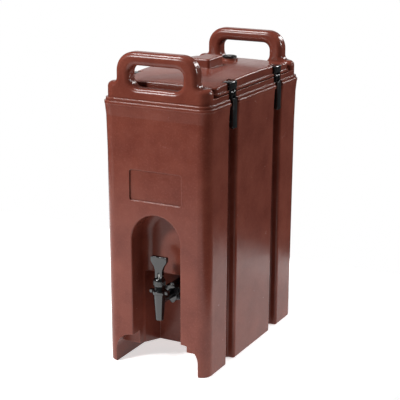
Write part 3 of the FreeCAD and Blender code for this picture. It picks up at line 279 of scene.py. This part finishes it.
brownPolyethylene = mouldedPlastic("brownRotomouldedPolyethylene", brownLook)
blackNylon = mouldedPlastic("blackMouldedNylon", nylonLook)
blackPolypropylene = mouldedPlastic("blackMouldedPolypropylene", faucetLook)
tankPolyethylene = mouldedPlastic("paleMouldedPolyethylene", tankLook)
insulatingFoam = cellFoam("rigidPolyurethaneFoam", foamLook)
siliconeRubber = mouldedSilicone("greySiliconeRubber", siliconeLook)
stainlessSteel = drawnSteel("drawnStainlessSteel", steelLook)
slotMaterials = {"brown_polyethylene": brownPolyethylene, "black_nylon": blackNylon,
                 "black_polypropylene": blackPolypropylene, "tank_polyethylene": tankPolyethylene,
                 "insulating_foam": insulatingFoam, "silicone": siliconeRubber,
                 "stainless_steel": stainlessSteel}

for entry in frame["record"]["subparts"]:
    mesh = frame["nodes"][entry["node"]].data
    mesh.materials.clear()
    mesh.materials.append(slotMaterials[entry["material_slot"]])
print("materials on the frame")


latch = {"count": 4, "bracketEase": 0.5, "leverEase": 0.8, "hookEase": 0.8}

for number in range(1, latch["count"] + 1):
    for part, body, width in (("bracket", "dispenser", latch["bracketEase"]),
                              ("lever", f"lever_{number}", latch["leverEase"]),
                              ("hook", f"hook_{number}", latch["hookEase"])):
        softened(f"latch_{number}_{part}", f"latch{part.capitalize()}{number}", blackNylon, body,
                 width)
print("latches")

# the cap over the spring chamber: radii and heights in mm above the spout's tip
bonnet = {"along": -190.0, "tip": 100.0, "inner": 10.3, "outer": 11.8, "bore": 2.6, "crown": 9.4,
          "foot": 69.0, "roof": 78.1, "shoulder": 81.0, "top": 84.0, "steps": 48, "ribDepth": 0.5}


def bonnetPiece():
    # ribbed for the fingers, so that the cap can be screwed off for cleaning
    wall = bonnet["outer"] - bonnet["ribDepth"]
    ribFoot, ribHead = bonnet["foot"] + 2, bonnet["shoulder"] - 2
    profile = [(bonnet["inner"], bonnet["foot"]), (wall - 0.1, bonnet["foot"]),
               (wall, bonnet["foot"] + 0.6), (wall, ribFoot), (wall, ribHead),
               (wall, bonnet["shoulder"] - 0.6),
               (bonnet["crown"] + 0.5, bonnet["top"] - 0.5), (bonnet["crown"], bonnet["top"]),
               (bonnet["bore"], bonnet["top"]), (bonnet["bore"], bonnet["roof"]),
               (bonnet["inner"], bonnet["roof"])]
    bm = spunShape(profile, bonnet["steps"])
    raiseRibs(bm, ribFoot + 0.1, ribHead - 0.1, bonnet["ribDepth"])
    place = (0, bonnet["along"] * millimetre, bonnet["tip"] * millimetre)
    bmesh.ops.translate(bm, verts=bm.verts, vec=place)
    return newPiece("ribbedBonnet", bm, blackPolypropylene, "dispenser",
                    "faucet_bonnet")


bonnetPiece()
softened("faucet_collar", "lobedCollar", blackPolypropylene, "dispenser", 1.0, 3)
softened("faucet_body", "faucetBody", blackPolypropylene, "dispenser", 0.6, 2)
softened("faucet_handle", "faucetLever", blackPolypropylene, "handle", 1.3, 3)
softened("wing_nut", "wingNut", blackNylon, "dispenser", 1.2, 3)
print("faucet")

# a ribbed cap on a short stem, turned by a bar across its top: radii, and heights in mm about its seat
ventCap = {"place": 106.0, "base": 566.5, "stem": 4.2, "stemEnd": -15.0, "underside": 1.3, "rim": 14.3,
           "rimLow": 1.9, "rimHigh": 4.4, "steps": 60, "ribDepth": 0.5,
           "bar": (19.0, 3.4, 1.6), "barHeight": 4.8, "barEase": 0.5}


def ventPiece():
    stem, rim, rimHigh = ventCap["stem"], ventCap["rim"], ventCap["rimHigh"]
    profile = [(0, ventCap["stemEnd"]), (stem - 0.2, ventCap["stemEnd"]), (stem, ventCap["stemEnd"] + 0.2),
               (stem, ventCap["underside"]), (rim - 0.7, ventCap["underside"]), (rim, ventCap["rimLow"]),
               (rim, rimHigh), (rim - 0.7, rimHigh + 0.6), (rim - 2.8, rimHigh + 0.7),
               (rim - 3.3, rimHigh + 0.2), (0, rimHigh)]
    bm = spunShape(profile, ventCap["steps"])
    raiseRibs(bm, ventCap["rimLow"] + 0.1, rimHigh - 0.1, ventCap["ribDepth"])
    # the grip bar across the top
    bar = bmesh.ops.create_cube(bm, size=1.0)["verts"]
    bmesh.ops.scale(bm, verts=bar, vec=[length * millimetre for length in ventCap["bar"]])
    bmesh.ops.translate(bm, verts=bar, vec=(0, 0, ventCap["barHeight"] * millimetre))
    easeEdges(bm, [e for e in bm.edges if all(v in bar for v in e.verts)], ventCap["barEase"], 2)
    place = (0, ventCap["place"] * millimetre, ventCap["base"] * millimetre)
    bmesh.ops.translate(bm, verts=bm.verts, vec=place)
    return newPiece("ventCap", bm, blackNylon, "vent", "vent_cap")


ventPiece()
print("vent cap")

studio = {"room": 0.06, "paper": "#F7F7F7", "paperRoughness": 0.9, "floorGlow": 0.62,
          "floorMiddle": (-0.45, -0.35, 0.0), "floorHalf": 0.9, "aim": (0, 0, 0.3)}

floorMesh = bpy.data.meshes.new("studioFloor")
floorShape = bmesh.new()
bmesh.ops.create_grid(floorShape, x_segments=2, y_segments=2, size=studio["floorHalf"])
bmesh.ops.translate(floorShape, verts=floorShape.verts, vec=studio["floorMiddle"])
floorShape.to_mesh(floorMesh)
floorShape.free()
studioFloor = bpy.data.objects.new("studioFloor", floorMesh)
bpy.context.scene.collection.objects.link(studioFloor)
floorMaterial, floorTree, floorShader, floorPlace = startMaterial("palePaper")
floorShader.inputs["Base Color"].default_value = linearColour(studio["paper"])
floorShader.inputs["Roughness"].default_value = studio["paperRoughness"]
floorShader.inputs["Emission Color"].default_value = (1, 1, 1, 1)
floorShader.inputs["Emission Strength"].default_value = studio["floorGlow"]
floorMesh.materials.append(floorMaterial)

# white paper behind the object, and a dimmer room for what the plastic reflects
world = bpy.data.worlds.new("studioWorld")
world.use_nodes = True
worldTree = world.node_tree
ray = addNode(worldTree, "ShaderNodeLightPath").outputs["Is Camera Ray"]
power = addNode(worldTree, "ShaderNodeMapRange", values={"To Min": studio["room"], "To Max": 1.0},
                links={"Value": ray}).outputs["Result"]
worldTree.nodes["Background"].inputs["Color"].default_value = (1, 1, 1, 1)
worldTree.links.new(power, worldTree.nodes["Background"].inputs["Strength"])
bpy.context.scene.world = world

lamps = [
    {"name": "keyPanel", "at": (-1.7, -2.8, 2.0), "size": (0.4, 0.6), "power": 108},
    {"name": "sidePanel", "at": (2.3, 1.3, 1.3), "size": (0.3, 0.6), "power": 50},
    {"name": "topPanel", "at": (-0.9, -0.5, 2.6), "size": (0.4, 0.6), "power": 64},
    {"name": "rimPanel", "at": (0.85, 2.6, 1.65), "size": (0.5, 0.5), "power": 22},
    {"name": "backPanel", "at": (-1.5, 2.7, 0.9), "size": (2.2, 1.2), "power": 6},
]
for lamp in lamps:
    light = bpy.data.lights.new(lamp["name"], "AREA")
    light.shape = "RECTANGLE"
    light.size, light.size_y = lamp["size"]
    light.energy = lamp["power"]
    holder = bpy.data.objects.new(lamp["name"], light)
    holder.location = lamp["at"]
    holder.rotation_euler = (Vector(studio["aim"]) - Vector(lamp["at"])).to_track_quat("-Z", "Y").to_euler()
    bpy.context.scene.collection.objects.link(holder)

view = {"lens": 109.4, "place": (1.077, -2.109, 0.956), "yaw": 27.43, "pitch": 15.72, "roll": 0.19,
        "shift": (0.00675, 0.003)}
camera = bpy.data.cameras.new("camera")
camera.lens = view["lens"]
camera.sensor_width = 36
camera.shift_x, camera.shift_y = view["shift"]
camera.clip_end = 50
cameraHolder = bpy.data.objects.new("camera", camera)
cameraHolder.matrix_world = (Matrix.Translation(view["place"])
                             @ Matrix.Rotation(math.radians(view["yaw"]), 4, "Z")
                             @ Matrix.Rotation(math.radians(90 - view["pitch"]), 4, "X")
                             @ Matrix.Rotation(math.radians(view["roll"]), 4, "Z"))
bpy.context.scene.collection.objects.link(cameraHolder)
bpy.context.scene.camera = cameraHolder
bpy.context.scene.view_settings.view_transform = "Standard"

print("camera and light")
